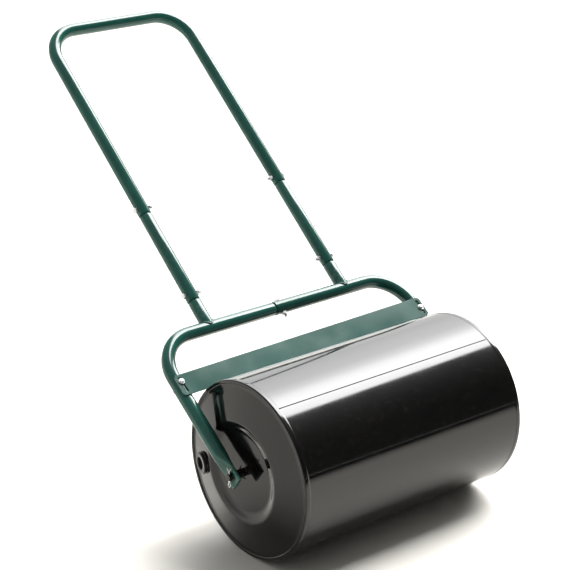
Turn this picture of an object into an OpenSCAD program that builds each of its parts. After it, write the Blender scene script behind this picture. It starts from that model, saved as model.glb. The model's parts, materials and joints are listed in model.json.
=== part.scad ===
// Lawn roller: a fillable steel drum that turns on its axle inside a tubular push frame.
// The origin is on the ground under the middle of the drum. +X runs along the axle,
// +Y points to the side the handle leans towards, +Z is up.

/* [Drum] */
// Diameter of the drum over its rolled rims
drum_d = 320; // [240:5:400]
// Length of the drum over its rolled rims
drum_len = 500; // [440:5:620]
// Thickness of the drum sheet
sheet_t = 1.2; // [1:0.1:1.8]
// How far the rolled rims stand proud of the drum sheet
rim_proud = 0.8; // [0.4:0.1:1.5]
// Width of each rolled rim along the drum
rim_w = 10; // [6:1:16]
// Thickness of the pressed end caps
cap_t = 1.5; // [1.2:0.1:2.5]
// Radius of the crest round the dished middle of each cap
crest_r = 92; // [60:1:100]
// How far the crest stands out past the rims
crest_out = 12; // [4:1:16]
// Radius of the flat middle of each cap
dish_r = 70; // [30:1:80]
// Depth of the flat middle below the crest
dish_deep = 6; // [2:1:9]

/* [Axle] */
// Diameter of the axle rod
axle_d = 12; // [10:1:16]
// Length of the axle rod, end to end
axle_len = 583; // [580:1:590]
// How far the axle and yoke sit to the right of the drum's middle
side_play = 1; // [0:0.5:6]
// Radial play between the axle and its bushes
axle_play = 0.05; // [0.02:0.01:0.1]

/* [Filler] */
// Distance of the filler from the axle, at the face of the cap
filler_r = 119.3; // [112:0.1:124]
// Angle of the filler below the horizontal through the axle
filler_low = 12.8; // [0:0.1:40]
// Diameter of the filler neck and plug head
filler_d = 40; // [34:1:44]
// How far the plug face stands out from the cap
plug_out = 6.5; // [6:0.1:7]

/* [Yoke] */
// Diameter of every frame tube
tube_d = 25; // [22:0.5:28]
// Wall thickness of the frame tubes
tube_t = 1.5; // [1.2:0.1:2]
// Distance between the centrelines of the two legs
leg_gap = 562; // [558:0.5:564]
// Distance from the axle to the crossbar, centre to centre
crossbar_up = 281.2; // [275:0.1:320]
// Bend radius of the yoke corners, at the tube's centreline
yoke_bend = 75; // [60:1:82]
// Lean of the yoke from upright
yoke_lean = 53; // [20:0.5:70]
// Thickness of the flattened leg ends
flat_t = 5.5; // [4:0.1:7]
// Width of the flattened leg ends
flat_w = 33; // [30:1:36]
// How far a flattened end runs past the axle
flat_past = 17; // [14:1:24]
// Distance above the axle at which the leg is flat
flat_top = 11; // [10:1:20]
// Distance above the axle at which the leg is round again
round_from = 48; // [36:1:70]
// Distance from the drum's middle to the crossbar's seam, to the left
seam_left = 11; // [0:1:30]

/* [Handle] */
// Lean of the handle from upright
handle_lean = 49.5; // [20:0.5:70]
// Distance between the centrelines of the handle tubes
handle_gap = 317; // [290:1:340]
// Distance from the crossbar to the grip bar, centre to centre
handle_len = 680; // [560:1:760]
// Bend radius of the handle bow, at the tube's centreline
bow_bend = 67; // [50:1:90]
// Height of the lower seam above the crossbar
lower_seam = 58; // [50:1:80]
// Height of the upper seam above the crossbar
upper_seam = 250; // [200:1:300]
// Length of each reduced neck inside its joint
neck_len = 34; // [28:1:40]
// Distance from a seam to its bolt
seam_to_bolt = 15; // [12:1:20]
// Gap left at each seam
seam_gap = 0.8; // [0.3:0.1:1.5]

/* [Scraper] */
// Length of the scraper bar
scraper_len = 581; // [572:1:584]
// Height of the scraper bar
scraper_h = 42; // [36:1:44]
// Thickness of the scraper bar
scraper_t = 2; // [1.5:0.1:3]
// Distance from the axle to the middle of the scraper, along the legs
scraper_up = 186.7; // [186:0.1:190]
// Tilt at which the scraper is clamped, right end high
scraper_tilt = 0.8; // [0:0.1:0.8]
// Distance from the axle to the scraper bolts, along the leg
scraper_bolt_up = 189; // [187:1:190]
// Length of the scraper's slots
slot_len = 31; // [28:1:34]
// Width of the scraper's slots
slot_w = 7; // [6.6:0.1:8]

/* [Hidden] */
$fn = 96;

paint_green = "#1f5a4b";
paint_black = "#17181a";
plastic_black = "#222325";
rubber_black = "#2b2b2c";
zinc = "#c9ccd0";

LEFT = -1;
RIGHT = 1;
CUT = 1;
LOOSE = 0.3;
WELD_GAP = 0.1;

drum_r = drum_d / 2;
half_len = drum_len / 2;
shell_r = drum_r - rim_proud;
lip_w = 7;
lip_t = 1.5;
flange_r = shell_r - sheet_t;
flange_deep = 12;
cap_edge = half_len - lip_t - 0.1;
cap_rise = crest_out + half_len - cap_edge;
cone_r = drum_r - lip_w - 5;
dish_out = cap_edge + cap_rise - dish_deep;
step_count = 10;

axle_r = axle_d / 2;
leg_x = leg_gap / 2;
pin_x = axle_len / 2 - 3.6;
pin_tip_len = 10;
pin_wire_r = 1.1;
pin_shank_r = 2;
pin_hole_r = 2.2;
bush_r = 9;
bush_deep = 1.2;
collar_r = 20;
collar_w = 8;
spacer_r = 7.5;
washer_r = 8.5;
washer_t = 1.5;

filler_tilt = atan(cap_rise / (cone_r - crest_r));
neck_r = filler_d / 2 - 0.5;
neck_top = 1.3;
neck_low = -12;
thread_r = 14.5;
gasket_t = 1.6;
head_low = neck_top + gasket_t + 2 * LOOSE;
stem_low = neck_low + 1;
recess_r = 11.5;
recess_deep = 10;
socket_af = 12;
socket_deep = 4;

tube_r = tube_d / 2;
bore_r = tube_r - tube_t;
neck_out_r = bore_r - 0.1;
neck_in_r = neck_out_r - 1.2;
bolt_r = 3;
hole_r = 3.2;
head_af = 10;
head_k = 4;
nut_k = 5;
bolt_past = 5;
seam_x = -seam_left - side_play;
crossbar_bolt_past = 17;

scraper_off = tube_r + LOOSE;
scraper_face = scraper_off + scraper_t;
corner_r = 7;
pan_r = 4.8;
pan_k = 3;
big_washer_r = 5.6;
big_washer_t = 1.2;

// ---- Placement ----------------------------------------------------------

// Middle of the drum, on the axle line
module at_drum() {
    translate([0, 0, drum_r]) children();
}

// Middle of the axle, which the yoke hangs on
module at_axle() {
    translate([side_play, 0, drum_r]) children();
}

// Local Z runs from the local middle out of the drum's left or right end
module outwards(side) {
    rotate([0, side * 90, 0]) children();
}

// Yoke plane: local Z runs up the legs and local -Y is the front face
module on_yoke() {
    at_axle() rotate([-yoke_lean, 0, 0]) children();
}

// Handle plane, hung on the crossbar over the drum's middle
module on_handle() {
    translate([0, crossbar_up * sin(yoke_lean), drum_r + crossbar_up * cos(yoke_lean)])
        rotate([-handle_lean, 0, 0]) children();
}

// Centreline of one handle tube: local Z runs up the tube, local X points outwards
module on_handle_tube(side) {
    on_handle() mirror([side == LEFT ? 1 : 0, 0, 0])
        translate([handle_gap / 2, 0, 0]) children();
}

// Filler line, square to the cap's cone: local Z = 0 is the cap's face, local Z points out
module on_filler() {
    at_drum() outwards(LEFT) rotate([0, 0, 90 + filler_low])
        translate([filler_r, 0, cap_out(filler_r)]) rotate([0, filler_tilt, 0]) children();
}

// ---- Shared shapes ------------------------------------------------------

module tube(low, high, outer, inner) {
    difference() {
        translate([0, 0, low]) cylinder(r = outer, h = high - low);
        translate([0, 0, low - CUT]) cylinder(r = inner, h = high - low + 2 * CUT);
    }
}

// A tube bend of the given angle, in the XZ plane about the local origin
module bend(radius, turn, outer, inner) {
    rotate([90, 0, 0]) rotate_extrude(angle = turn) translate([radius, 0]) difference() {
        circle(r = outer, $fn = 64);
        circle(r = inner, $fn = 64);
    }
}

module cross_hole() {
    rotate([0, 90, 0]) cylinder(r = hole_r, h = tube_d + 2 * CUT, center = true, $fn = 32);
}

// The reduced neck that enters the next tube, with its shoulder, from local Z = 0
module neck() {
    difference() {
        union() {
            cylinder(r = neck_out_r, h = neck_len);
            translate([0, 0, -4]) cylinder(r1 = tube_r, r2 = neck_out_r, h = 4);
        }
        translate([0, 0, -4 - CUT]) cylinder(r = neck_in_r, h = neck_len + 4 + 2 * CUT);
    }
}

module hexagon(across) {
    circle(d = across / cos(30), $fn = 6);
}

// Hex bolt: the head sits on local Z = 0 and the shank runs down from it
module hex_bolt(grip) {
    linear_extrude(head_k) hexagon(head_af);
    translate([0, 0, -grip]) cylinder(r = bolt_r, h = grip + CUT, $fn = 32);
}

// Hex nut standing below local Z = 0
module hex_nut() {
    translate([0, 0, -nut_k]) linear_extrude(nut_k) difference() {
        hexagon(head_af);
        circle(r = bolt_r + 0.05, $fn = 32);
    }
}

// ---- Drum ---------------------------------------------------------------

function cap_out(r) =
    r >= cone_r ? cap_edge :
    r >= crest_r ? cap_edge + cap_rise * (cone_r - r) / (cone_r - crest_r) :
    r >= dish_r ? cap_edge + cap_rise
        - dish_deep * (1 - cos(180 * (crest_r - r) / (crest_r - dish_r))) / 2 :
    dish_out;

module drum_shell() {
    color(paint_black) at_drum() outwards(RIGHT) difference() {
        union() {
            cylinder(r = shell_r, h = drum_len - 2 * rim_w, center = true, $fn = 180);
            for (side = [LEFT, RIGHT])
                translate([0, 0, side * (half_len - rim_w / 2)])
                    cylinder(r = drum_r, h = rim_w, center = true, $fn = 180);
        }
        cylinder(r = flange_r, h = drum_len - 2 * lip_t, center = true, $fn = 180);
        cylinder(r = drum_r - lip_w, h = drum_len + 2 * CUT, center = true, $fn = 180);
    }
}

// Pressed cap: flange, cone up to the crest, and the dished middle
module end_cap() {
    radii = concat([flange_r - cap_t, cone_r, crest_r],
        [for (i = [1:step_count]) crest_r - (crest_r - dish_r) * i / step_count], [axle_r]);
    outside = [for (r = radii) [r, cap_out(r)]];
    inside = [for (i = [len(radii) - 1:-1:0]) [radii[i], cap_out(radii[i]) - cap_t]];
    rotate_extrude($fn = 180) polygon(concat(
        [[flange_r, cap_edge - flange_deep], [flange_r, cap_edge]], outside, inside,
        [[flange_r - cap_t, cap_edge - flange_deep]]));
}

module left_end_cap() {
    color(paint_black) difference() {
        at_drum() outwards(LEFT) end_cap();
        on_filler() translate([0, 0, -10]) cylinder(r = neck_r, h = 20);
    }
}

module right_end_cap() {
    color(paint_black) at_drum() outwards(RIGHT) end_cap();
}

module axle_rod() {
    color(paint_black) at_axle() difference() {
        outwards(RIGHT) cylinder(r = axle_r, h = axle_len, center = true);
        for (side = [LEFT, RIGHT])
            translate([side * pin_x, 0, 0])
                cylinder(r = pin_hole_r, h = axle_d + 2 * CUT, center = true, $fn = 32);
    }
}

module hub_collar(side) {
    color(paint_black) at_drum() outwards(side)
        tube(dish_out - cap_t - collar_w, dish_out - cap_t, collar_r, axle_r);
}

module spacer(side) {
    color(paint_black) at_drum() outwards(side)
        tube(dish_out, leg_x + side * side_play - flat_t / 2 - LOOSE, spacer_r, axle_r);
}

module axle_washer(side) {
    face = leg_x + flat_t / 2 + LOOSE;
    color(paint_black) at_axle() outwards(side) tube(face, face + washer_t, washer_r, axle_r);
}

// Split pin: an eye below the axle, the doubled shank through it, crossed tips above
module split_pin(side) {
    color(zinc) at_axle() translate([side * pin_x, 0, 0]) {
        translate([0, 0, -10.5]) cylinder(r = pin_shank_r, h = 19, $fn = 32);
        for (leg = [LEFT, RIGHT])
            translate([leg * 1.15, 0, 7]) rotate([leg * 18, 0, 0])
                cylinder(r = pin_wire_r, h = pin_tip_len, $fn = 24);
        translate([0, 0, -14.6]) outwards(RIGHT) rotate_extrude($fn = 48)
            translate([4.4, 0]) circle(r = pin_wire_r, $fn = 24);
    }
}

// ---- Filler -------------------------------------------------------------

module filler_neck() {
    color(paint_black) on_filler() tube(neck_low, neck_top, neck_r, thread_r);
}

module plug_gasket() {
    low = neck_top + LOOSE;
    color(rubber_black) on_filler() tube(low, low + gasket_t, neck_r - 1, thread_r + LOOSE);
}

module filler_plug() {
    color(plastic_black) on_filler() difference() {
        union() {
            translate([0, 0, head_low]) cylinder(d = filler_d, h = plug_out - head_low);
            translate([0, 0, stem_low]) cylinder(r = thread_r - LOOSE, h = head_low - stem_low + CUT);
        }
        translate([0, 0, plug_out - recess_deep]) cylinder(r = recess_r, h = recess_deep + CUT);
        translate([0, 0, plug_out - recess_deep - socket_deep])
            linear_extrude(socket_deep + CUT) hexagon(socket_af);
    }
}

// ---- Yoke ---------------------------------------------------------------

// Flattened end of a leg, from the square tip up to the round tube
module leg_end() {
    translate([-flat_t / 2, -flat_w / 2, -flat_past])
        cube([flat_t, flat_w, flat_past + flat_top]);
    hull() {
        translate([-flat_t / 2, -flat_w / 2, flat_top - 0.5]) cube([flat_t, flat_w, 0.5]);
        translate([0, 0, round_from - 0.5]) cylinder(r = tube_r, h = 0.5, $fn = 32);
    }
}

// One leg with its corner and its half of the crossbar, ending at the seam
module yoke_half(side, reach) {
    corner_x = leg_x - yoke_bend;
    corner_z = crossbar_up - yoke_bend;
    mirror([side == LEFT ? 1 : 0, 0, 0]) {
        translate([leg_x, 0, 0]) {
            leg_end();
            tube(round_from - 0.01, corner_z, tube_r, bore_r);
        }
        translate([corner_x, 0, corner_z]) bend(yoke_bend, 90, tube_r, bore_r);
        translate([0, 0, crossbar_up]) rotate([0, 90, 0]) tube(reach, corner_x, tube_r, bore_r);
    }
}

module yoke_holes() {
    for (side = [LEFT, RIGHT]) {
        translate([side * leg_x, 0, 0]) rotate([0, 90, 0])
            cylinder(r = bush_r, h = flat_t + 2 * CUT, center = true, $fn = 64);
        translate([side * leg_x, 0, scraper_bolt_up]) rotate([90, 0, 0])
            cylinder(r = hole_r, h = tube_d + 2 * CUT, center = true, $fn = 32);
    }
    translate([seam_x + crossbar_bolt_past, 0, crossbar_up])
        cylinder(r = hole_r, h = tube_d + 2 * CUT, center = true, $fn = 32);
}

module left_yoke_half() {
    color(paint_green) on_yoke() difference() {
        union() {
            yoke_half(LEFT, -seam_x + 4);
            translate([seam_x, 0, crossbar_up]) rotate([0, 90, 0]) neck();
        }
        yoke_holes();
    }
}

module right_yoke_half() {
    color(paint_green) on_yoke() difference() {
        yoke_half(RIGHT, seam_x + seam_gap);
        yoke_holes();
    }
}

// Bush pressed into a flattened end, set a little below its outer face
module axle_bush(side) {
    color(plastic_black) at_axle() outwards(side)
        tube(leg_x - flat_t / 2, leg_x + flat_t / 2 - bush_deep, bush_r, axle_r + axle_play);
}

// ---- Handle -------------------------------------------------------------

module socket(side) {
    color(paint_green) difference() {
        on_handle_tube(side) difference() {
            union() {
                tube(0, lower_seam - 4, tube_r, bore_r);
                translate([0, 0, lower_seam]) neck();
            }
            translate([0, 0, lower_seam + seam_to_bolt]) cross_hole();
        }
        on_yoke() translate([0, 0, crossbar_up]) outwards(RIGHT)
            cylinder(r = tube_r + WELD_GAP, h = leg_gap, center = true);
    }
}

module handle_tube(side) {
    color(paint_green) on_handle_tube(side) difference() {
        union() {
            tube(lower_seam + seam_gap, upper_seam - 4, tube_r, bore_r);
            translate([0, 0, upper_seam]) neck();
        }
        for (seam = [lower_seam, upper_seam])
            translate([0, 0, seam + seam_to_bolt]) cross_hole();
    }
}

module handle_bow() {
    bow_x = handle_gap / 2 - bow_bend;
    bow_z = handle_len - bow_bend;
    color(paint_green) {
        for (side = [LEFT, RIGHT]) {
            on_handle_tube(side) difference() {
                tube(upper_seam + seam_gap, bow_z, tube_r, bore_r);
                translate([0, 0, upper_seam + seam_to_bolt]) cross_hole();
            }
            on_handle() mirror([side == LEFT ? 1 : 0, 0, 0])
                translate([bow_x, 0, bow_z]) bend(bow_bend, 90, tube_r, bore_r);
        }
        on_handle() translate([0, 0, handle_len]) outwards(RIGHT)
            tube(-bow_x, bow_x, tube_r, bore_r);
    }
}

// ---- Fasteners ----------------------------------------------------------

// Bolt line of a handle joint: the head end is on the outer side of the tube
module on_joint(side, seam) {
    on_handle_tube(side) translate([0, 0, seam + seam_to_bolt]) rotate([0, 90, 0]) children();
}

module joint_bolts(seam) {
    color(zinc) for (side = [LEFT, RIGHT])
        on_joint(side, seam) translate([0, 0, tube_r]) hex_bolt(tube_d + nut_k + bolt_past);
}

module joint_nuts(seam) {
    color(zinc) for (side = [LEFT, RIGHT])
        on_joint(side, seam) translate([0, 0, -tube_r]) hex_nut();
}

// Bolt line through the crossbar joint
module on_crossbar_joint() {
    on_yoke() translate([seam_x + crossbar_bolt_past, 0, crossbar_up]) children();
}

module crossbar_bolt() {
    color(zinc) on_crossbar_joint() translate([0, 0, tube_r]) hex_bolt(tube_d + nut_k + bolt_past);
}

module crossbar_nut() {
    color(zinc) on_crossbar_joint() translate([0, 0, -tube_r]) hex_nut();
}

// ---- Scraper ------------------------------------------------------------

module rounded_plate(length, height, radius) {
    translate([-length / 2 + radius, 0]) square([length - 2 * radius, height]);
    translate([-length / 2, radius]) square([length, height - 2 * radius]);
    for (x = [-1, 1], y = [radius, height - radius])
        translate([x * (length / 2 - radius), y]) circle(r = radius, $fn = 48);
}

// Slot along local Y, from its lower end at the origin
module slot() {
    translate([-slot_w / 2, slot_w / 2]) square([slot_w, slot_len - slot_w]);
    for (y = [slot_w / 2, slot_len - slot_w / 2])
        translate([0, y]) circle(d = slot_w, $fn = 32);
}

module scraper_bar() {
    color(paint_green) on_yoke() translate([0, -scraper_off, scraper_up])
        rotate([90, 0, 0]) rotate([0, 0, scraper_tilt]) linear_extrude(scraper_t) difference() {
            translate([0, -scraper_h / 2]) rounded_plate(scraper_len, scraper_h, corner_r);
            for (side = [LEFT, RIGHT])
                translate([side * leg_x, -slot_len / 2]) slot();
        }
}

// Scraper bolt line: local Z points out of the leg's front face
module on_scraper_bolt(side) {
    on_yoke() translate([side * leg_x, 0, scraper_bolt_up]) rotate([90, 0, 0]) children();
}

module scraper_bolts() {
    seat = scraper_face + LOOSE + big_washer_t;
    reach = seat + tube_r + nut_k + bolt_past;
    color(zinc) for (side = [LEFT, RIGHT])
        on_scraper_bolt(side) translate([0, 0, seat]) {
            cylinder(r1 = pan_r, r2 = pan_r - 1.2, h = pan_k, $fn = 48);
            translate([0, 0, -reach]) cylinder(r = bolt_r, h = reach + CUT, $fn = 32);
        }
}

module scraper_washers() {
    low = scraper_face + LOOSE;
    color(zinc) for (side = [LEFT, RIGHT])
        on_scraper_bolt(side) tube(low, low + big_washer_t, big_washer_r, hole_r);
}

module scraper_nuts() {
    color(zinc) for (side = [LEFT, RIGHT])
        on_scraper_bolt(side) translate([0, 0, -tube_r]) hex_nut();
}

drum_shell();
left_end_cap();
right_end_cap();
axle_rod();
hub_collar(LEFT);  // left_hub_collar
hub_collar(RIGHT);  // right_hub_collar
spacer(LEFT);  // left_spacer
spacer(RIGHT);  // right_spacer
axle_washer(LEFT);  // left_axle_washer
axle_washer(RIGHT);  // right_axle_washer
split_pin(LEFT);  // left_split_pin
split_pin(RIGHT);  // right_split_pin
filler_neck();
plug_gasket();
filler_plug();
left_yoke_half();
right_yoke_half();
axle_bush(LEFT);  // left_axle_bush
axle_bush(RIGHT);  // right_axle_bush
socket(LEFT);  // left_socket
socket(RIGHT);  // right_socket
handle_tube(LEFT);  // left_handle_tube
handle_tube(RIGHT);  // right_handle_tube
handle_bow();
crossbar_bolt();
crossbar_nut();
joint_bolts(lower_seam);  // lower_joint_bolts
joint_nuts(lower_seam);  // lower_joint_nuts
joint_bolts(upper_seam);  // upper_joint_bolts
joint_nuts(upper_seam);  // upper_joint_nuts
scraper_bar();
scraper_bolts();
scraper_washers();
scraper_nuts();
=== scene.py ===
import json
import math

import bmesh
import bpy
from mathutils import Matrix, Vector


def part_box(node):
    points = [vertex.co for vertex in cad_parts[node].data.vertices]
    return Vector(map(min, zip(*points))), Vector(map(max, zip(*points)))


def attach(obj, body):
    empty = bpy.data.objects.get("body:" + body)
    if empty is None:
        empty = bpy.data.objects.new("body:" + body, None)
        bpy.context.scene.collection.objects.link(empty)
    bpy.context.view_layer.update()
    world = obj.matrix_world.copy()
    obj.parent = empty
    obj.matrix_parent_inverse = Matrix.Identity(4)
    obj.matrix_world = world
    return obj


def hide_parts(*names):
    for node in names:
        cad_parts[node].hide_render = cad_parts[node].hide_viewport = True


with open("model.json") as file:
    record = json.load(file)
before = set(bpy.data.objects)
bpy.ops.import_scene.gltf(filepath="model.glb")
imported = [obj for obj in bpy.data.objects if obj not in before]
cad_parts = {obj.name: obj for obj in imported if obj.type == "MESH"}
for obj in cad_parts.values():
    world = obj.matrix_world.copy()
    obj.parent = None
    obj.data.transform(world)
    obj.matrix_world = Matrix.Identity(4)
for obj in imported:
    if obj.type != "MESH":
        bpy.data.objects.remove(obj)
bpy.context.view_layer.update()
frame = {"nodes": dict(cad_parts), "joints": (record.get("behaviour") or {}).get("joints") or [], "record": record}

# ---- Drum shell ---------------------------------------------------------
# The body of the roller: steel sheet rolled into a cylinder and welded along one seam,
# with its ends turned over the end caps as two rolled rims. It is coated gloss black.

MM = 0.001
LEFT, RIGHT = -1, 1
BODY_OF = {n: b for b, names in frame["record"]["behaviour"]["bodies"].items() for n in names}
shell_low, shell_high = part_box("drum_shell")
drum_centre = (shell_low + shell_high) / 2
axle_low, axle_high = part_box("axle_rod")
axle_centre = (axle_low + axle_high) / 2


def deselect():
    if bpy.context.mode != "OBJECT":
        bpy.ops.object.mode_set(mode="OBJECT")
    bpy.ops.object.select_all(action="DESELECT")


def take(piece):
    """Makes the piece the only one in hand."""
    deselect()
    piece.select_set(True)
    bpy.context.view_layer.objects.active = piece


def set_down(piece, place=(0, 0, 0), turn=(0, 0, 0)):
    """Turns the piece about the origin, moves it, and works that into its mesh."""
    take(piece)
    piece.rotation_euler = turn
    piece.location = place
    bpy.ops.object.transform_apply(location=True, rotation=True, scale=True)


def close_up(piece, crease=32):
    """Merges the seams, turns every face outwards and smooths all but the sharp edges."""
    take(piece)
    bpy.ops.object.transform_apply(location=True, rotation=True, scale=True)
    bpy.ops.object.mode_set(mode="EDIT")
    bpy.ops.mesh.select_all(action="SELECT")
    bpy.ops.mesh.remove_doubles(threshold=0.008 * MM)
    bpy.ops.mesh.normals_make_consistent(inside=False)
    bpy.ops.object.mode_set(mode="OBJECT")
    bpy.ops.object.shade_smooth_by_angle(angle=math.radians(crease))


def push(step, grow=1.0, centre=(0, 0, 0)):
    """Extrudes the open ring by a step in millimetres, and widens it about its centre."""
    bpy.ops.mesh.extrude_edges_move(TRANSFORM_OT_translate={"value": Vector(step) * MM})
    if abs(grow - 1) > 1e-9:
        bpy.ops.transform.resize(value=(grow,) * 3, center_override=Vector(centre) * MM)


def turned(name, rings, sides=64, bored=False):
    """A piece turned about local Z, from rings of (height, radius) in millimetres.
    A bored piece comes back to its first ring; any other is closed by a face at each end."""
    deselect()
    height, radius = rings[0]
    bpy.ops.mesh.primitive_circle_add(
        vertices=sides, radius=radius * MM, location=(0, 0, height * MM)
    )
    piece = bpy.context.object
    piece.name = name
    bpy.ops.object.mode_set(mode="EDIT")
    bpy.ops.mesh.select_all(action="SELECT")
    if not bored:
        bpy.ops.mesh.edge_face_add()
        bpy.ops.mesh.select_all(action="SELECT")
    for up, out in rings[1:] + (rings[:1] if bored else []):
        push((0, 0, up - height), out / radius, (0, 0, up))
        height, radius = up, out
    if not bored:
        bpy.ops.mesh.edge_face_add()
    close_up(piece)
    return piece


def along_axle(side):
    """The turn that points local Z out of the drum's left or right end."""
    return (0, side * math.pi / 2, 0)


def add_node(tree, kind, inputs, **settings):
    made = tree.nodes.new(kind)
    for name, value in settings.items():
        setattr(made, name, value)
    for name, value in inputs.items():
        if isinstance(value, bpy.types.NodeSocket):
            tree.links.new(value, made.inputs[name])
        else:
            made.inputs[name].default_value = value
    return made


def noise(tree, where, scale, detail=3.0, roughness=0.55):
    found = add_node(tree, "ShaderNodeTexNoise",
                     {"Vector": where, "Scale": scale, "Detail": detail, "Roughness": roughness})
    return found.outputs["Fac"]


def ranged(tree, value, low, high, to_low, to_high):
    found = add_node(tree, "ShaderNodeMapRange",
                     {"Value": value, "From Min": low, "From Max": high,
                      "To Min": to_low, "To Max": to_high})
    return found.outputs["Result"]


def times(tree, a, b):
    return add_node(tree, "ShaderNodeMath", {0: a, 1: b}, operation="MULTIPLY").outputs[0]


def blended(tree, share, a, b):
    """Colour a where share is 0 and colour b where it is 1."""
    mix = add_node(tree, "ShaderNodeMix", {"Factor": share, 6: a, 7: b}, data_type="RGBA")
    return mix.outputs[2]


def new_finish(name):
    """An empty material: its node tree, its shader, and the piece's own coordinates."""
    material = bpy.data.materials.new(name)
    material.use_nodes = True
    tree = material.node_tree
    shader = tree.nodes["Principled BSDF"]
    where = tree.nodes.new("ShaderNodeTexCoord").outputs["Object"]
    return material, tree, shader, where


def powder_coat(name, colour, deep, chipped, gloss, peel, wave):
    """Gloss powder coat on steel: cloudy thickness, orange peel, dust, and edges rubbed thin."""
    material, tree, shader, where = new_finish(name)
    cloud = noise(tree, where, 7, 4)
    tint = blended(tree, ranged(tree, cloud, 0.35, 0.65, 0, 1), deep, colour)
    dust = ranged(tree, noise(tree, where, 90, 8, 0.7), 0.56, 0.8, 0, 0.05)
    dusty = blended(tree, dust, tint, (0.32, 0.3, 0.27, 1))
    sharp = tree.nodes.new("ShaderNodeNewGeometry").outputs["Pointiness"]
    edge = ranged(tree, sharp, 0.53, 0.62, 0, 1)
    patchy = ranged(tree, noise(tree, where, 160, 5), 0.5, 0.66, 0, 0.75)
    worn = times(tree, edge, patchy)
    tree.links.new(blended(tree, worn, dusty, chipped), shader.inputs["Base Color"])
    low, high = gloss
    film = ranged(tree, noise(tree, where, 14, 6), 0.3, 0.7, low, high)
    rough = add_node(tree, "ShaderNodeMath", {0: film, 1: times(tree, worn, 0.35)}, operation="ADD")
    tree.links.new(rough.outputs[0], shader.inputs["Roughness"])
    skin = add_node(tree, "ShaderNodeBump",
                    {"Strength": peel, "Distance": 0.0002, "Height": noise(tree, where, 420, 2)})
    sheet = add_node(tree, "ShaderNodeBump",
                     {"Strength": wave, "Distance": 0.002, "Height": noise(tree, where, 6, 2),
                      "Normal": skin.outputs[0]})
    tree.links.new(sheet.outputs[0], shader.inputs["Normal"])
    return material


def dress(piece, material, slot, *nodes):
    """Gives the piece its finish, and lets it stand for its CAD nodes on their body."""
    piece.data.materials.clear()
    piece.data.materials.append(material)
    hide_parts(*nodes)
    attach(piece, BODY_OF[nodes[0]])
    return piece


black_coat = powder_coat(
    "gloss_black_powder_coat", colour=(0.0034, 0.0032, 0.003, 1), deep=(0.0022, 0.0022, 0.0022, 1),
    chipped=(0.06, 0.057, 0.052, 1), gloss=(0.07, 0.12), peel=0.05, wave=0.12)

rim_out = [(239.0, 159.2), (240.0, 159.3), (240.9, 159.65), (241.8, 159.95), (242.8, 160.0),
           (247.2, 160.0), (248.5, 159.8), (249.3, 159.2), (249.8, 158.3), (250.0, 157.2),
           (250.0, 155.2), (249.8, 154.2), (249.3, 153.4), (248.6, 153.0)]
shell_in = 158.0
drum_shell = turned(
    "drum_shell_body",
    [(-a, r) for a, r in reversed(rim_out)] + rim_out
    + [(248.45, shell_in), (-248.45, shell_in)], sides=180, bored=True)
set_down(drum_shell, drum_centre, along_axle(RIGHT))
dress(drum_shell, black_coat, "black_paint", "drum_shell")

SEAM_ANGLE = math.radians(61.8)
seam_place = Vector((0, -math.cos(SEAM_ANGLE), math.sin(SEAM_ANGLE))) * (159.2 * MM)
drum_seam = turned(
    "drum_seam_weld",
    [(-239.4, 0.2), (-239.0, 0.9), (-238, 1.0)] + [(a, 1.0) for a in range(-220, 221, 20)]
    + [(238, 1.0), (239.0, 0.9), (239.4, 0.2)], sides=20)
take(drum_seam)
bpy.ops.transform.resize(value=(0.32, 1.5, 1), center_override=(0, 0, 0))
set_down(drum_seam, (0, 0, 0), along_axle(RIGHT))
set_down(drum_seam, drum_centre + seam_place, (SEAM_ANGLE - math.pi / 2, 0, 0))
drum_seam.data.materials.append(black_coat)
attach(drum_seam, "drum")

# ---- End caps -----------------------------------------------------------
# Two pressed steel discs close the drum. Each rises in a shallow cone to a soft crest and
# falls back to a flat middle, and its flange is held inside the rolled rim.

CREST_R, CREST_UP = 92.0, 262.0
DISH_R, DISH_UP = 70.0, 256.0
CONE_R, CONE_UP = 148.0, 248.4
CAP_T = 1.5


def cap_height(radius):
    """How far the outside of a cap stands from the middle of the drum."""
    if radius >= CONE_R:
        return CONE_UP
    if radius >= CREST_R:
        along = (CONE_R - radius) / (CONE_R - CREST_R)
        eased = along - 0.02 * max(0, along - 0.82) ** 2 / 0.18 ** 2
        return CONE_UP + (CREST_UP - CONE_UP) * eased
    top = cap_height(CREST_R)
    fall = min(1.0, (CREST_R - radius) / (CREST_R - DISH_R))
    return top - (top - DISH_UP) * (1 - math.cos(math.pi * fall)) / 2


cap_radii = ([152, 149.5, 148, 146.5, 144, 138, 128, 118, 108, 103, 101, 99, 97, 95, 93.5, 92]
             + [92 - 22 * k / 14 for k in range(1, 15)] + [68.5, 66, 50, 30, 12.2])
FILLER_HOLE_R = 19.6
plug_joint = next(j for j in frame["record"]["behaviour"]["joints"] if j["name"] == "plug_turn")
filler_at, filler_out = Vector(plug_joint["pos_m"]), Vector(plug_joint["axis"])
filler_turn = filler_out.to_track_quat("Z", "Y")

end_caps = {}
for side, name in ((LEFT, "left_end_cap"), (RIGHT, "right_end_cap")):
    outside = [(236.6, shell_in - 0.1), (247.0, shell_in - 0.1), (247.9, 157.5), (248.4, 156.6)]
    outside += [(cap_height(r), r) for r in cap_radii]
    inside = [(cap_height(r) - CAP_T, r) for r in reversed(cap_radii)]
    cap = turned(name + "_pressing", outside + inside + [(246.6, 156.2), (236.6, 156.4)],
                 sides=180, bored=True)
    set_down(cap, drum_centre, along_axle(side))
    end_caps[side] = cap
    dress(cap, black_coat, "black_paint", name)


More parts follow.
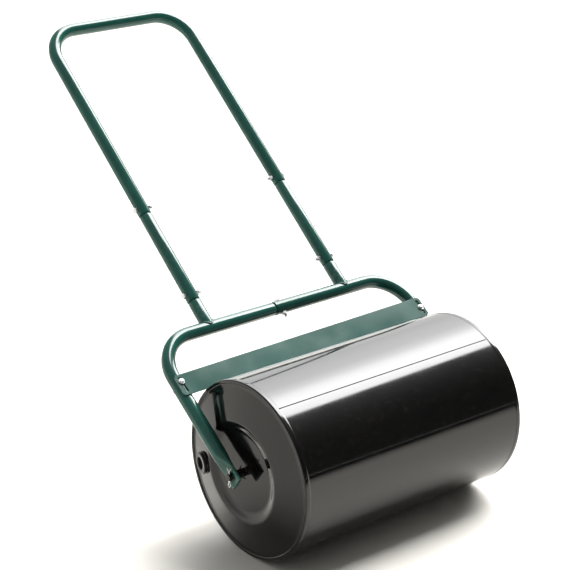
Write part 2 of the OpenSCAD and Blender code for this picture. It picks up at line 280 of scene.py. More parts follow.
def cut(piece, cutter, how="DIFFERENCE"):
    """Cuts the piece with a closed cutter, which is then thrown away."""
    take(piece)
    knife = piece.modifiers.new("cut", "BOOLEAN")
    knife.object = cutter
    knife.operation = how
    knife.solver = "EXACT"
    bpy.ops.object.modifier_apply(modifier=knife.name)
    bpy.data.objects.remove(cutter)


filler_cutter = turned("filler_cutter", [(-10, FILLER_HOLE_R), (10, FILLER_HOLE_R)], sides=64)
set_down(filler_cutter, filler_at, filler_turn.to_euler())
cut(end_caps[LEFT], filler_cutter)
close_up(end_caps[LEFT])

# ---- Axle, spacers and washers ------------------------------------------
# A painted steel rod runs through both caps and carries the yoke. A short sleeve keeps each
# leg off its cap, and a washer and a split pin keep the leg on the rod.


def zinc_plate(name, colour, gloss, marks):
    """Bright zinc plate: cloudy spangle, fine rubbing marks and a duller film in places."""
    material, tree, shader, where = new_finish(name)
    cloud = ranged(tree, noise(tree, where, 120, 4), 0.35, 0.65, 0, 1)
    dull = tuple(c * 0.72 for c in colour[:3]) + (1,)
    tree.links.new(blended(tree, cloud, dull, colour), shader.inputs["Base Color"])
    shader.inputs["Metallic"].default_value = 1.0
    rough = ranged(tree, noise(tree, where, 420, 5), 0.3, 0.7, *gloss)
    tree.links.new(rough, shader.inputs["Roughness"])
    skin = add_node(tree, "ShaderNodeBump", {"Strength": marks, "Distance": 0.0002,
                                             "Height": noise(tree, where, 1500, 4)})
    tree.links.new(skin.outputs[0], shader.inputs["Normal"])
    return material


zinc = zinc_plate("bright_zinc_plate", (0.86, 0.87, 0.88, 1), (0.26, 0.44), 0.25)
AXLE_R = 6.0
PIN_HOLE_R = 2.2
axle_half = (axle_high.x - axle_low.x) / 2 / MM
pin_x = axle_half - 3.6


def end_rust(name, base):
    """The rod's coat, rubbed to bare brownish steel on its two sawn ends."""
    material = base.copy()
    material.name = name
    tree = material.node_tree
    shader = tree.nodes["Principled BSDF"]
    coated = shader.inputs["Base Color"].links[0].from_socket
    where = tree.nodes.new("ShaderNodeTexCoord").outputs["Object"]
    split = add_node(tree, "ShaderNodeSeparateXYZ", {"Vector": where})
    centred = add_node(tree, "ShaderNodeMath", {0: split.outputs[0], 1: axle_centre.x},
                       operation="SUBTRACT")
    reach = add_node(tree, "ShaderNodeMath", {0: centred.outputs[0]}, operation="ABSOLUTE")
    sawn = ranged(tree, reach.outputs[0], (axle_half - 0.5) * MM, (axle_half - 0.1) * MM, 0, 1)
    bare = blended(tree, noise(tree, where, 600, 4), (0.02, 0.012, 0.008, 1), (0.07, 0.05, 0.036, 1))
    tree.links.new(blended(tree, sawn, coated, bare), shader.inputs["Base Color"])
    return material


axle_rod = turned("axle_rod_bar", [(-axle_half, AXLE_R - 0.8), (-axle_half + 0.8, AXLE_R),
                                   (-pin_x + 20, AXLE_R), (pin_x - 20, AXLE_R),
                                   (axle_half - 0.8, AXLE_R), (axle_half, AXLE_R - 0.8)], sides=48)
set_down(axle_rod, axle_centre, along_axle(RIGHT))
for side in (LEFT, RIGHT):
    drill = turned("drill", [(-10, PIN_HOLE_R), (10, PIN_HOLE_R)], sides=24)
    set_down(drill, axle_centre + Vector((side * pin_x * MM, 0, 0)))
    cut(axle_rod, drill)
close_up(axle_rod)
dress(axle_rod, end_rust("axle_coat", black_coat), "black_paint", "axle_rod")


def sleeve(name, node, outer, inner, side, ease, sides=48):
    """A bored ring that fills its CAD node's length along the axle, with eased corners."""
    low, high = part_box(node)
    length = (high.x - low.x) / MM
    ring = turned(name, [(ease, inner), (0, inner + ease), (0, outer - ease), (ease, outer),
                         (length - ease, outer), (length, outer - ease), (length, inner + ease),
                         (length - ease, inner)], sides=sides, bored=True)
    near = low.x if side == RIGHT else high.x
    set_down(ring, (near, axle_centre.y, axle_centre.z), along_axle(side))
    return ring


for side, word in ((LEFT, "left"), (RIGHT, "right")):
    dress(sleeve(word + "_spacer_sleeve", word + "_spacer", 7.5, AXLE_R + 0.05, side, 0.4),
          black_coat, "black_paint", word + "_spacer")
    dress(sleeve(word + "_axle_washer_ring", word + "_axle_washer", 8.5, AXLE_R + 0.3, side, 0.25),
          black_coat, "black_paint", word + "_axle_washer")

# ---- Split pins ---------------------------------------------------------
# Bent steel wire, zinc plated. The eye hangs under the rod, the doubled shank goes up
# through it, and the two legs are bent over so that they cross above.

WIRE_R, SHANK_Y = 0.85, 0.93
EYE_LOW, EYE_HIGH, EYE_WIDE = -14.6, 4.5, 2.7


def bent_wire(name, points, radius, closed=False, sides=8):
    """A round wire through the points, which are in millimetres."""
    deselect()
    line = bpy.data.curves.new(name, "CURVE")
    line.dimensions = "3D"
    line.bevel_depth = radius * MM
    line.bevel_resolution = sides // 2
    line.use_fill_caps = not closed
    run = line.splines.new("POLY")
    run.points.add(len(points) - 1)
    for spot, point in zip(run.points, points):
        spot.co = (*(Vector(point) * MM), 1)
    run.use_cyclic_u = closed
    piece = bpy.data.objects.new(name, line)
    bpy.context.scene.collection.objects.link(piece)
    take(piece)
    bpy.ops.object.convert(target="MESH")
    piece = bpy.context.object
    close_up(piece, 50)
    return piece


def rounded_path(points, steps=5):
    """More points between the given ones, on one smooth line through them all."""
    ends = [Vector(points[0])] + [Vector(p) for p in points] + [Vector(points[-1])]
    path = []
    for a, b, c, d in zip(ends, ends[1:], ends[2:], ends[3:]):
        for k in range(steps):
            t = k / steps
            path.append(0.5 * (2 * b + (c - a) * t + (2 * a - 5 * b + 4 * c - d) * t ** 2
                               + (3 * b - a - 3 * c + d) * t ** 3))
    return path + [Vector(points[-1])]


eye_start = math.asin(SHANK_Y / EYE_WIDE)
eye = []
for k in range(21):
    turn = eye_start + k * (2 * math.pi - 2 * eye_start) / 20
    eye.append((0, EYE_WIDE * math.sin(turn), EYE_LOW + EYE_HIGH * math.cos(turn)))
pin_path = ([(1.1, -3.7, 16.2), (1.1, -1.6, 12.6), (1.1, 0.4, 9.4), (0.6, 0.9, 6.6), (0, SHANK_Y, 3),
             (0, SHANK_Y, -4), (0, SHANK_Y, -9)] + eye
            + [(0, -SHANK_Y, -9), (0, -SHANK_Y, -4), (0, -SHANK_Y, 3), (-0.6, -0.9, 6.6),
               (-1.1, -0.4, 9.4), (-1.1, 1.6, 12.6), (-1.1, 3.7, 16.2)])
for side, word in ((LEFT, "left"), (RIGHT, "right")):
    pin = bent_wire(word + "_split_pin_wire", rounded_path(pin_path, 3), WIRE_R)
    set_down(pin, axle_centre + Vector((side * pin_x * MM, 0, 0)))
    dress(pin, zinc, "zinc", word + "_split_pin")

# ---- Filler neck, gasket and plug ---------------------------------------
# A steel neck welded square to the left cap's cone lets water or sand in. A moulded plastic
# plug with a round recess and a hexagon socket screws into it and presses on a gasket.


def along_filler(piece):
    set_down(piece, filler_at, filler_turn.to_euler())
    return piece


def moulded(name, colour, gloss, grain, grain_size):
    """Moulded plastic or rubber: fine grain, a little bloom, and a duller film in places."""
    material, tree, shader, where = new_finish(name)
    bloom = ranged(tree, noise(tree, where, 45, 6), 0.45, 0.75, 0, 0.12)
    tree.links.new(blended(tree, bloom, colour, (0.12, 0.12, 0.12, 1)), shader.inputs["Base Color"])
    rough = ranged(tree, noise(tree, where, 200, 4), 0.3, 0.7, *gloss)
    tree.links.new(rough, shader.inputs["Roughness"])
    skin = add_node(tree, "ShaderNodeBump", {"Strength": grain, "Distance": 0.0002,
                                             "Height": noise(tree, where, grain_size, 3)})
    tree.links.new(skin.outputs[0], shader.inputs["Normal"])
    return material


black_plastic = moulded("moulded_black_plastic", (0.0075, 0.0075, 0.008, 1), (0.28, 0.42), 0.2, 1400)
rubber = moulded("gasket_rubber", (0.012, 0.012, 0.012, 1), (0.6, 0.8), 0.35, 900)

NECK_LOW, NECK_UP, NECK_R, NECK_BORE = -12, 1.3, 19.5, 14.6
neck = turned("filler_neck_boss",
              [(NECK_LOW + 0.2, NECK_BORE), (NECK_LOW, NECK_BORE + 0.3), (NECK_LOW, NECK_R - 0.4),
               (NECK_LOW + 0.4, NECK_R), (NECK_UP - 0.9, NECK_R), (NECK_UP - 0.3, NECK_R - 0.3),
               (NECK_UP, NECK_R - 0.9), (NECK_UP, NECK_BORE + 0.5), (NECK_UP - 0.5, NECK_BORE)],
              sides=72, bored=True)
dress(along_filler(neck), black_coat, "black_paint", "filler_neck")

WELD_RING_R, WELD_BEAD_R = NECK_R + 0.4, 0.95
weld_points = []
for k in range(96):
    turn = 2 * math.pi * k / 96
    spot = Vector((WELD_RING_R * math.cos(turn), WELD_RING_R * math.sin(turn), 0))
    off = (filler_at - drum_centre) / MM + filler_turn @ spot
    spot.z = (abs(off.x) - cap_height(math.hypot(off.y, off.z))) * filler_out.x
    weld_points.append(spot + Vector((0, 0, 0.1 + 0.1 * math.sin(24 * turn))))
neck_weld = along_filler(bent_wire("filler_neck_weld", weld_points, WELD_BEAD_R, closed=True))
neck_weld.data.materials.append(black_coat)
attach(neck_weld, "drum")

gasket = turned("plug_gasket_ring", [(1.9, 14.8), (1.6, 15.1), (1.6, 18.1), (1.9, 18.5),
                                     (2.9, 18.5), (3.2, 18.1), (3.2, 15.1), (2.9, 14.8)],
                sides=64, bored=True)
dress(along_filler(gasket), rubber, "gasket_rubber", "plug_gasket")

FACE_UP, RECESS_R, RECESS_LOW = 6.5, 11.5, -3.5
SOCKET_R, SOCKET_LOW = 6 / math.cos(math.pi / 6), -7.5
plug_rings = [(-11, 12.8)]
for k in range(9):
    plug_rings += [(-10.4 + 1.4 * k, 14.1), (-9.8 + 1.4 * k, 13.3)]
plug_rings += [(3.5, 13.8), (3.5, 19.5), (3.8, 20), (4.7, 20), (4.95, 19.45), (6.0, 19.3),
               (FACE_UP, 18.8), (FACE_UP, RECESS_R + 0.8), (FACE_UP - 0.2, RECESS_R + 0.3),
               (FACE_UP - 0.7, RECESS_R), (RECESS_LOW + 0.4, RECESS_R), (RECESS_LOW, RECESS_R - 0.4)]
plug = turned("filler_plug_head", plug_rings, sides=96)
socket = turned("socket_cutter", [(SOCKET_LOW, SOCKET_R), (FACE_UP + 1, SOCKET_R)], sides=6)
cut(plug, socket)
close_up(plug)
dress(along_filler(plug), black_plastic, "black_plastic", "filler_plug")

# ---- Yoke ---------------------------------------------------------------
# Two bent steel tubes meet at a seam in the crossbar, where one is drawn down to slip inside
# the other. The leg ends are pressed flat, square cut and bored for the axle bushes.

TUBE_R = 12.5
LEG_X, CROSSBAR_UP, YOKE_BEND = 281.0, 281.2, 75.0
FLAT_HALF_T, FLAT_SPREAD = 2.75, 13.75
FLAT_PAST, FLAT_TOP, ROUND_FROM = 17.0, 11.0, 48.0
SEAM_X, SEAM_GAP = -11.0 - axle_centre.x / MM, 0.8
BUSH_R = 9.0
joints = {j["name"]: j for j in frame["joints"]}
up_yoke = Vector(joints["scraper_set"]["axis"])
yoke_turn = (-math.atan2(up_yoke.y, up_yoke.z), 0, 0)
crossbar_centre = axle_centre + up_yoke * CROSSBAR_UP * MM

green_coat = powder_coat(
    "gloss_green_powder_coat", colour=(0.0095, 0.078, 0.060, 1), deep=(0.0068, 0.061, 0.046, 1),
    chipped=(0.12, 0.22, 0.19, 1), gloss=(0.08, 0.14), peel=0.06, wave=0.05)


def move_halves(height, shift):
    """Spreads the two halves of the ring at this height apart, along local Y."""
    for sign in (-1, 1):
        bpy.ops.mesh.select_all(action="DESELECT")
        mesh = bmesh.from_edit_mesh(bpy.context.object.data)
        for v in mesh.verts:
            v.select = abs(v.co.z - height * MM) < 1e-6 and sign * v.co.y > 1e-6
        mesh.select_flush_mode()
        bmesh.update_edit_mesh(bpy.context.object.data)
        bpy.ops.transform.translate(value=(0, sign * shift * MM, 0))


def select_ring(height):
    bpy.ops.mesh.select_all(action="DESELECT")
    mesh = bmesh.from_edit_mesh(bpy.context.object.data)
    for v in mesh.verts:
        v.select = abs(v.co.z - height * MM) < 1e-6
    for e in mesh.edges:
        e.select = all(v.select for v in e.verts)
    bmesh.update_edit_mesh(bpy.context.object.data)


def drawn_end(direction, centre, deep=33.5):
    """Draws the open end of a tube down to a neck that goes inside the next tube."""
    at = Vector(centre)
    way = Vector(direction)
    for step, radius, old in ((1.3, 12.1, 12.5), (1.4, 11.4, 12.1), (1.3, 10.9, 11.4),
                              (deep, 10.9, 10.9), (0.5, 10.4, 10.9)):
        at = at + way * step
        push(way * step, radius / old, at)
    bpy.ops.mesh.edge_face_add()


def open_end(direction, centre, deep=37):
    """Finishes the open end of a tube: an eased edge, then its bore, closed out of sight."""
    at = Vector(centre)
    way = Vector(direction)
    for step, radius, old in ((0.35, 12.4, 12.5), (0.15, 12.1, 12.4), (0, 11.3, 12.1),
                              (-0.3, 11.0, 11.3), (-deep, 11.0, 11.0)):
        at = at + way * step
        push(way * step, radius / old, at)
    bpy.ops.mesh.edge_face_add()


def bend_ring(centre, axis, degrees, steps):
    bpy.ops.mesh.spin(steps=steps, angle=math.radians(degrees),
                      center=Vector(centre) * MM, axis=axis)


def yoke_half(name, side):
    """One leg, its corner and its half of the crossbar, in the yoke's own upright plane."""
    deselect()
    x = side * LEG_X
    bpy.ops.mesh.primitive_circle_add(vertices=48, radius=(FLAT_HALF_T - 0.4) * MM,
                                      location=(x * MM, 0, -FLAT_PAST * MM))
    piece = bpy.context.object
    piece.name = name
    bpy.ops.object.transform_apply(location=True, rotation=True, scale=True)
    bpy.ops.object.mode_set(mode="EDIT")
    bpy.ops.mesh.select_all(action="SELECT")
    bpy.ops.mesh.edge_face_add()
    move_halves(-FLAT_PAST, FLAT_SPREAD)
    select_ring(-FLAT_PAST)
    height = -FLAT_PAST + 0.4
    push((0, 0, 0.4))
    half_w = FLAT_SPREAD + FLAT_HALF_T
    bpy.ops.transform.resize(
        value=(FLAT_HALF_T / (FLAT_HALF_T - 0.4), half_w / (half_w - 0.4), 1),
        center_override=(x * MM, 0, height * MM))
    push((0, 0, FLAT_TOP - height))
    height, radius, spread = FLAT_TOP, FLAT_HALF_T, FLAT_SPREAD
    count = 12
    for k in range(1, count + 1):
        share = k / count
        eased = 0.35 * share + 0.65 * (0.5 - 0.5 * math.cos(math.pi * share))
        new_r = FLAT_HALF_T + (TUBE_R - FLAT_HALF_T) * eased
        new_s = FLAT_SPREAD * (1 - eased)
        step = (ROUND_FROM - FLAT_TOP) / count
        height += step
        push((0, 0, step), new_r / radius, (x, 0, height))
        move_halves(height, new_s - spread * new_r / radius)
        select_ring(height)
        radius, spread = new_r, new_s
    corner_x, corner_z = LEG_X - YOKE_BEND, CROSSBAR_UP - YOKE_BEND
    push((0, 0, corner_z - height))
    bend_ring((side * corner_x, 0, corner_z), (0, side, 0), 90, 20)
    if side == LEFT:
        push((SEAM_X - 4 + corner_x, 0, 0))
        drawn_end((1, 0, 0), (SEAM_X - 4, 0, CROSSBAR_UP))
    else:
        end_x = SEAM_X + SEAM_GAP
        push((end_x + 0.5 - corner_x, 0, 0))
        open_end((-1, 0, 0), (end_x + 0.5, 0, CROSSBAR_UP))
    close_up(piece)
    bore = turned("bore", [(-8, BUSH_R), (8, BUSH_R)], sides=64)
    set_down(bore, (x * MM, 0, 0), along_axle(RIGHT))
    cut(piece, bore)
    close_up(piece, 28)
    set_down(piece, axle_centre, yoke_turn)
    return piece


for side, word in ((LEFT, "left"), (RIGHT, "right")):
    dress(yoke_half(word + "_yoke_tube", side), green_coat, "green_paint", word + "_yoke_half")
    bush = sleeve(word + "_axle_bush_ring", word + "_axle_bush", BUSH_R, AXLE_R + 0.05, side, 0.3)
    dress(bush, black_plastic, "black_plastic", word + "_axle_bush")

# ---- Handle sockets -----------------------------------------------------
# Two short tubes are saddle cut, set on the crossbar and welded all round. Their tops are
# drawn down to slip inside the handle tubes.

HANDLE_X = 158.5
LOWER_SEAM, UPPER_SEAM = 58.0, 250.0
mounts = {m["name"]: m for m in frame["record"]["mounts"]}
grip_at, bar_at = Vector(mounts["grip_bar"]["pos_m"]), Vector(mounts["crossbar"]["pos_m"])
handle_turn = (-math.atan2(grip_at.y - bar_at.y, grip_at.z - bar_at.z), 0, 0)
handle_len = math.hypot(grip_at.y - bar_at.y, grip_at.z - bar_at.z) / MM
handle_foot = Vector((0, crossbar_centre.y, crossbar_centre.z))


def tube_start(name, x, low):
    """The first open ring of an upright tube, ready to be pushed on."""
    deselect()
    bpy.ops.mesh.primitive_circle_add(vertices=48, radius=TUBE_R * MM,
                                      location=(x * MM, 0, low * MM))
    piece = bpy.context.object
    piece.name = name
    bpy.ops.object.transform_apply(location=True, rotation=True, scale=True)
    bpy.ops.object.mode_set(mode="EDIT")
    bpy.ops.mesh.select_all(action="SELECT")
    return piece


for side, word in ((LEFT, "left"), (RIGHT, "right")):
    x = side * HANDLE_X
    socket = tube_start(word + "_socket_tube", x, 2.0)
    bpy.ops.mesh.edge_face_add()
    push((0, 0, LOWER_SEAM - 6))
    drawn_end((0, 0, 1), (x, 0, LOWER_SEAM - 4))
    close_up(socket)
    bar = turned("bar_cutter", [(-300, TUBE_R + 0.1), (300, TUBE_R + 0.1)], sides=96)
    set_down(bar, (0, 0, 0), along_axle(RIGHT))
    cut(socket, bar)
    close_up(socket, 28)
    set_down(socket, handle_foot, handle_turn)
    dress(socket, green_coat, "green_paint", word + "_socket")
    saddle = []
    for k in range(120):
        turn = 2 * math.pi * k / 120
        ripple = 0.16 * math.sin(34 * turn)
        height = math.sqrt(TUBE_R ** 2 * math.cos(turn) ** 2 + 3.2)
        saddle.append((x + (TUBE_R + 0.3 + ripple) * math.cos(turn),
                       (TUBE_R + 0.3 + ripple) * math.sin(turn), height + ripple))
    weld = bent_wire(word + "_socket_weld", saddle, 1.9, closed=True)
    set_down(weld, handle_foot, handle_turn)
    weld.data.materials.append(green_coat)
    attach(weld, "frame")

# ---- Handle tubes and bow -----------------------------------------------
# Each side tube slips over its socket and into the bow. The bow is one tube bent twice,
# and its straight top is the bar that is pushed and pulled.

BOW_BEND = 67.0
for side, word in ((LEFT, "left"), (RIGHT, "right")):
    x = side * HANDLE_X
    low = LOWER_SEAM + SEAM_GAP
    tube = tube_start(word + "_handle_side_tube", x, low + 0.5)
    open_end((0, 0, -1), (x, 0, low + 0.5))
    select_ring(low + 0.5)
    push((0, 0, UPPER_SEAM - 4 - low - 0.5))
    drawn_end((0, 0, 1), (x, 0, UPPER_SEAM - 4))
    close_up(tube, 28)
    set_down(tube, handle_foot, handle_turn)
    dress(tube, green_coat, "green_paint", word + "_handle_tube")

bow_low = UPPER_SEAM + SEAM_GAP
bow = tube_start("handle_bow_tube", HANDLE_X, bow_low + 0.5)
open_end((0, 0, -1), (HANDLE_X, 0, bow_low + 0.5))
select_ring(bow_low + 0.5)
straight = handle_len - BOW_BEND - bow_low - 0.5
push((0, 0, straight))
bend_ring((HANDLE_X - BOW_BEND, 0, handle_len - BOW_BEND), (0, 1, 0), 90, 20)
push((-2 * (HANDLE_X - BOW_BEND), 0, 0))
bend_ring((-HANDLE_X + BOW_BEND, 0, handle_len - BOW_BEND), (0, 1, 0), 90, 20)
push((0, 0, -straight))
open_end((0, 0, -1), (-HANDLE_X, 0, bow_low + 0.5))
close_up(bow, 28)
set_down(bow, handle_foot, handle_turn)
dress(bow, green_coat, "green_paint", "handle_bow")

# ---- Joint bolts and nuts -----------------------------------------------
# Every slip joint is held by one M6 hexagon bolt right through the tubes, with its nut
# run on by hand so that a little thread stands past it. All are zinc plated.

BOLT_R, HEAD_R, HEAD_K, NUT_K, THREAD_PAST = 3.0, 5 / math.cos(math.pi / 6), 4.0, 5.0, 5.0
SEAM_TO_BOLT, CROSSBAR_BOLT_X = 15.0, 6.0 - axle_centre.x / MM


def hexagon(name, low, high, both_ends):
    """A hexagon bar whose corners are turned off at its top, or at both ends."""
    bar = turned(name, [(low, HEAD_R), (high, HEAD_R)], sides=6)
    foot = [(low, HEAD_R - 0.55), (low + 0.45, HEAD_R + 0.3)] if both_ends else [(low, HEAD_R + 0.3)]
    cone = turned("chamfer", foot + [(high - 0.5, HEAD_R + 0.25), (high, HEAD_R - 0.6)], sides=48)
    cut(bar, cone, "INTERSECT")
    close_up(bar, 20)
    return bar


def thread(low, high, pitch=1.0):
    """Rings of a coarse thread, from the lower to the upper height."""
    rings = []
    while low + pitch <= high:
        rings += [(low, BOLT_R - 0.35), (low + pitch * 0.45, BOLT_R), (low + pitch * 0.6, BOLT_R)]
        low += pitch
    return rings


def joined(name, *parts):
    deselect()
    for part in parts:
        part.select_set(True)
    bpy.context.view_layer.objects.active = parts[0]
    bpy.ops.object.join()
    whole = bpy.context.object
    whole.name = name
    return whole


def copied(piece, name):
    take(piece)
    bpy.ops.object.duplicate(linked=False)
    bpy.context.object.name = name
    return bpy.context.object


grip = 2 * TUBE_R
shank_end = -(grip + NUT_K + THREAD_PAST)
shank = turned("shank", [(shank_end, BOLT_R - 0.7)] + thread(shank_end + 0.4, -grip + 1)
               + [(-grip + 1.5, BOLT_R), (0.5, BOLT_R)], sides=32)
bolt_mould = joined("bolt_mould", hexagon("head", 0, HEAD_K, False), shank)
nut_mould = hexagon("nut_mould", -NUT_K, 0, True)
nut_bore = turned("nut_bore", [(-NUT_K - 1, BOLT_R + 0.05), (1, BOLT_R + 0.05)], sides=32)
cut(nut_mould, nut_bore)
close_up(nut_mould, 20)

for level, seam in (("lower", LOWER_SEAM), ("upper", UPPER_SEAM)):
    for side, word in ((LEFT, "left"), (RIGHT, "right")):
        middle = Vector((side * HANDLE_X, 0, seam + SEAM_TO_BOLT)) * MM
        away = Vector((side * TUBE_R * MM, 0, 0))
        bolt = copied(bolt_mould, f"{word}_{level}_joint_bolt")
        nut = copied(nut_mould, f"{word}_{level}_joint_nut")
        for part, place, node in ((bolt, middle + away, f"{level}_joint_bolts"),
                                  (nut, middle - away, f"{level}_joint_nuts")):
            set_down(part, (0, 0, 0), (0, 0, 0.3 * side + seam * 0.01))
            set_down(part, place, along_axle(side))
            set_down(part, handle_foot, handle_turn)
            dress(part, zinc, "zinc", node)

for mould, name, up in ((bolt_mould, "crossbar_bolt", TUBE_R), (nut_mould, "crossbar_nut", -TUBE_R)):
    part = copied(mould, name + "_m6")
    set_down(part, (CROSSBAR_BOLT_X * MM, 0, (CROSSBAR_UP + up) * MM), (0, 0, 0.2))
    set_down(part, axle_centre, yoke_turn)
    dress(part, zinc, "zinc", name)

# ---- Scraper bar --------------------------------------------------------
# A flat steel bar with rounded corners keeps the drum clean. It is coated green like the
# frame and clamped to the legs through two upright slots, so that it can be set close.

SCRAPER_LEN, SCRAPER_H, SCRAPER_T = 581.0, 42.0, 2.0
SCRAPER_OFF, SCRAPER_UP, SCRAPER_BOLT_UP = 12.8, 186.7, 189.0
SLOT_LEN, SLOT_W, CORNER_R = 31.0, 7.0, 7.0
SCRAPER_TILT = math.radians(0.8)


def plate(name, length, height, thickness, radius, ease):
    """A flat bar in the local XZ plane with rounded corners and slightly eased edges."""
    deselect()
    bpy.ops.mesh.primitive_cube_add(size=1)
    piece = bpy.context.object
    piece.name = name
    piece.scale = (length * MM, thickness * MM, height * MM)
    bpy.ops.object.transform_apply(location=True, rotation=True, scale=True)
    bpy.ops.object.mode_set(mode="EDIT")
    bpy.ops.mesh.select_all(action="DESELECT")
    mesh = bmesh.from_edit_mesh(piece.data)
    for e in mesh.edges:
        a, b = (v.co for v in e.verts)
        e.select = abs(a.x - b.x) < 1e-6 and abs(a.z - b.z) < 1e-6
    bmesh.update_edit_mesh(piece.data)
    bpy.ops.mesh.bevel(offset=radius * MM, segments=12, affect="EDGES")
    bpy.ops.object.mode_set(mode="OBJECT")
    if ease:
        take(piece)
        round_over = piece.modifiers.new("round_over", "BEVEL")
        round_over.width = ease * MM
        round_over.segments = 3
        round_over.limit_method = "ANGLE"
        round_over.angle_limit = math.radians(50)
        bpy.ops.object.modifier_apply(modifier=round_over.name)
    return piece


scraper = plate("scraper_bar_plate", SCRAPER_LEN, SCRAPER_H, SCRAPER_T, CORNER_R, 0)
for side in (LEFT, RIGHT):
    slot = plate("slot_cutter", SLOT_W, SLOT_LEN, 8, SLOT_W / 2 - 0.02, 0)
    set_down(slot, (side * LEG_X * MM, 0, 0))
    cut(scraper, slot)
close_up(scraper, 30)
take(scraper)
ease = scraper.modifiers.new("ease", "BEVEL")
ease.width = 0.35 * MM
ease.segments = 3
ease.limit_method = "ANGLE"
ease.angle_limit = math.radians(50)
bpy.ops.object.modifier_apply(modifier=ease.name)
bpy.ops.object.shade_smooth_by_angle(angle=math.radians(30))
set_down(scraper, (0, 0, 0), (0, -SCRAPER_TILT, 0))
set_down(scraper, (0, -(SCRAPER_OFF + SCRAPER_T / 2) * MM, SCRAPER_UP * MM))
set_down(scraper, axle_centre, yoke_turn)
dress(scraper, green_coat, "green_paint", "scraper_bar")

# ---- Scraper bolts, washers and nuts ------------------------------------
# A pan-head screw with a cross recess goes through a washer, the slot and the leg at
# each end, and a nut on the back of the leg clamps the bar. All are zinc plated.

PAN_R, PAN_K, WIDE_R, WIDE_T = 4.8, 3.0, 5.6, 1.2
PLAY = 0.3
washer_low = SCRAPER_OFF + SCRAPER_T + PLAY
seat = washer_low + WIDE_T
screw_end = -(seat + TUBE_R + NUT_K + THREAD_PAST)
pan_rings = [(0, PAN_R - 0.3), (0.3, PAN_R), (1.0, PAN_R - 0.1), (1.8, PAN_R - 0.5),
             (2.4, PAN_R - 1.2), (2.8, PAN_R - 2.2), (PAN_K, PAN_R - 3.4)]
pan = turned("pan", pan_rings, sides=48)
for quarter in (0, 1):
    blade = plate("blade", 0.9, 2.6, 4.4, 0.2, 0)
    set_down(blade, (0, 0, PAN_K * MM), (0, 0, quarter * math.pi / 2 + 0.35))
    cut(pan, blade)
close_up(pan)
screw = turned("screw", [(screw_end, BOLT_R - 0.7)] + thread(screw_end + 0.4, -seat - TUBE_R)
               + [(-seat - TUBE_R + 0.6, BOLT_R), (0.2, BOLT_R)], sides=32)
screw_mould = joined("screw_mould", pan, screw)
washer_mould = turned("washer_mould", [(0.2, 3.2), (0, 3.4), (0, WIDE_R - 0.3), (0.3, WIDE_R),
                                       (WIDE_T - 0.3, WIDE_R), (WIDE_T, WIDE_R - 0.3),
                                       (WIDE_T, 3.4), (WIDE_T - 0.2, 3.2)], sides=48, bored=True)
for side, word in ((LEFT, "left"), (RIGHT, "right")):
    for mould, name, up, node in ((screw_mould, "scraper_screw", seat, "scraper_bolts"),
                                  (washer_mould, "scraper_washer", washer_low, "scraper_washers"),
                                  (nut_mould, "scraper_nut", -TUBE_R, "scraper_nuts")):
        part = copied(mould, f"{word}_{name}")
        set_down(part, (side * LEG_X * MM, -up * MM, SCRAPER_BOLT_UP * MM), (math.pi / 2, 0, 0))
        set_down(part, axle_centre, yoke_turn)
        dress(part, zinc, "zinc", node)
for mould in (bolt_mould, nut_mould, screw_mould, washer_mould):
    bpy.data.objects.remove(mould)

# ---- Hub collars --------------------------------------------------------
# Turned steel bosses inside the drum, which hold the rod where it meets each cap. They are
# out of sight and keep their CAD shape, in the same coat as the caps.

for word in ("left", "right"):
    collar = frame["nodes"][word + "_hub_collar"]
    collar.data.materials.clear()
    collar.data.materials.append(black_coat)

# ---- Floor --------------------------------------------------------------
# A plain pale studio floor, and a near-black sheet over its near and left parts that shows only
# in the gloss paint: a painted reflection shade that darkens the mirrored floor there. Neither is part of the
# roller.

deselect()
bpy.ops.mesh.primitive_plane_add(size=40, location=(0, 0, 0))
floor = bpy.context.object
floor.name = "studio_floor"
floor_paint, floor_tree, floor_shader, floor_where = new_finish("pale_floor")
mottle = ranged(floor_tree, noise(floor_tree, floor_where, 3, 3), 0.3, 0.7, 0, 1)
floor_tree.links.new(blended(floor_tree, mottle, (0.8, 0.775, 0.72, 1), (0.83, 0.805, 0.75, 1)),
                     floor_shader.inputs["Base Color"])
floor_shader.inputs["Roughness"].default_value = 0.7
floor_shader.inputs["Specular IOR Level"].default_value = 0.2
floor.data.materials.append(floor_paint)

# The sheet is a painted reflection shade: near black, seen only in reflections, casting no shadow.
SHADE_SHEET_UP = 0.004
deselect()
bpy.ops.mesh.primitive_plane_add(size=40, location=(0, 0, SHADE_SHEET_UP))
reflection_shade_sheet = bpy.context.object
reflection_shade_sheet.name = "painted_reflection_shade_sheet"
reflection_shade_paint, reflection_shade_tree, reflection_shade_shader, reflection_shade_where = new_finish("painted_reflection_shade")
# Near-black colour of the painted reflection shade, a little uneven.
painted_shade_tone = ranged(reflection_shade_tree, noise(reflection_shade_tree, reflection_shade_where, 5, 3), 0.3, 0.7, 0.002, 0.004)
reflection_shade_tree.links.new(painted_shade_tone, reflection_shade_shader.inputs["Base Color"])
reflection_shade_split = add_node(reflection_shade_tree, "ShaderNodeSeparateXYZ", {"Vector": reflection_shade_where})
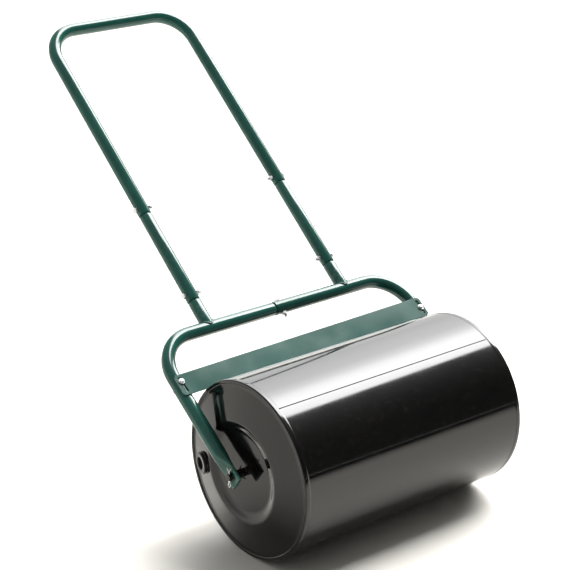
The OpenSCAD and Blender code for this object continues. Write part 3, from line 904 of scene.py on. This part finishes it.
# Where the painted reflection shade lies: fully over the near floor, and a third strong over the left floor.
near_shade_edge = ranged(reflection_shade_tree, reflection_shade_split.outputs[1], -2.6, -1.0, 1, 0)
left_shade_edge = ranged(reflection_shade_tree, reflection_shade_split.outputs[0], -0.4, -0.26, 0.34, 0)
painted_shade_cover = add_node(reflection_shade_tree, "ShaderNodeMath", {0: near_shade_edge, 1: left_shade_edge}, operation="MAXIMUM")
reflection_shade_tree.links.new(painted_shade_cover.outputs[0], reflection_shade_shader.inputs["Alpha"])
reflection_shade_shader.inputs["Roughness"].default_value = 1.0
reflection_shade_shader.inputs["Specular IOR Level"].default_value = 0.0
reflection_shade_sheet.data.materials.append(reflection_shade_paint)
reflection_shade_sheet.visible_camera = False
reflection_shade_sheet.visible_diffuse = False
reflection_shade_sheet.visible_transmission = False
reflection_shade_sheet.visible_shadow = False

# ---- Studio light -------------------------------------------------------
# One wide overhead light bank behind the roller, a white wall beyond it and a dark room on
# the near side, which the gloss black drum mirrors as one bright and one dark band.

scene = bpy.context.scene
scene.view_settings.view_transform = "Standard"
world = bpy.data.worlds.new("studio")
scene.world = world
world.use_nodes = True
room = world.node_tree
backdrop = room.nodes["Background"]
look = room.nodes.new("ShaderNodeTexCoord").outputs["Generated"]
way = add_node(room, "ShaderNodeSeparateXYZ", {"Vector": look})
swing = add_node(room, "ShaderNodeMath", {0: way.outputs[2], 1: way.outputs[1]}, operation="ARCTAN2")
PEAK = 18.4
BANK = ((0, 1.5), (22, 2.7), (32, 3.8), (42, 5.1), (52, 6.6), (62, 9.6), (72, 15.0), (82, 18.4),
        (98.8, 18.0), (100.2, 5.0), (101.2, 0.9), (108, 0.5), (122, 0.25), (132, 0.15), (142, 0.1),
        (152, 0.07), (180, 0.07))


def stepped(levels):
    """Brightness by the angle round the axle line, from the back horizon over the top."""
    share = ranged(room, swing.outputs[0], 0, math.pi, 0, 1)
    ramp = add_node(room, "ShaderNodeValToRGB", {"Fac": share})
    stops = ramp.color_ramp.elements
    while len(stops) < len(levels):
        stops.new(0.5)
    for stop, (degrees, level) in zip(stops, levels):
        stop.position = degrees / 180
    for stop, (degrees, level) in zip(stops, levels):
        stop.color = (level / PEAK,) * 3 + (1,)
    return times(room, ramp.outputs[0], PEAK)


SIDE = ((0, 0.9), (20, 0.7), (45, 0.5), (90, 0.45), (120, 0.25), (150, 0.12), (180, 0.08))
window = times(room, ranged(room, way.outputs[0], 0.22, 0.34, 0, 1),
               ranged(room, way.outputs[0], 0.86, 0.95, 1, 0))
fill_light = stepped(SIDE)
bank_light = stepped(BANK)
seen = add_node(room, "ShaderNodeMix", {"Factor": window, "A": fill_light, "B": bank_light})
is_eye = room.nodes.new("ShaderNodeLightPath").outputs["Is Camera Ray"]
strength = add_node(room, "ShaderNodeMix", {"Factor": is_eye, "A": seen.outputs[0], "B": 1.0})
room.links.new(strength.outputs[0], backdrop.inputs["Strength"])
backdrop.inputs["Color"].default_value = (1, 1, 1, 1)

# ---- Camera -------------------------------------------------------------
# A long lens looks down on the roller from its left front corner.

AZIMUTH, ELEVATION = math.radians(-39.05), math.radians(20.52)
DISTANCE, ACROSS, ABOVE = 3.2311, -0.12879, 0.26118
right = Vector((math.cos(AZIMUTH), math.sin(AZIMUTH), 0))
back = Vector((math.sin(AZIMUTH) * math.cos(ELEVATION), -math.cos(AZIMUTH) * math.cos(ELEVATION),
               math.sin(ELEVATION)))
above = back.cross(right)
lens = bpy.data.cameras.new("studio_camera")
lens.sensor_width = 36
lens.lens = 114.54
lens.clip_end = 100
camera = bpy.data.objects.new("studio_camera", lens)
scene.collection.objects.link(camera)
camera.matrix_world = (
    Matrix.Translation(drum_centre + right * ACROSS + above * ABOVE + back * DISTANCE)
    @ Matrix((right, above, back)).transposed().to_4x4())
scene.camera = camera
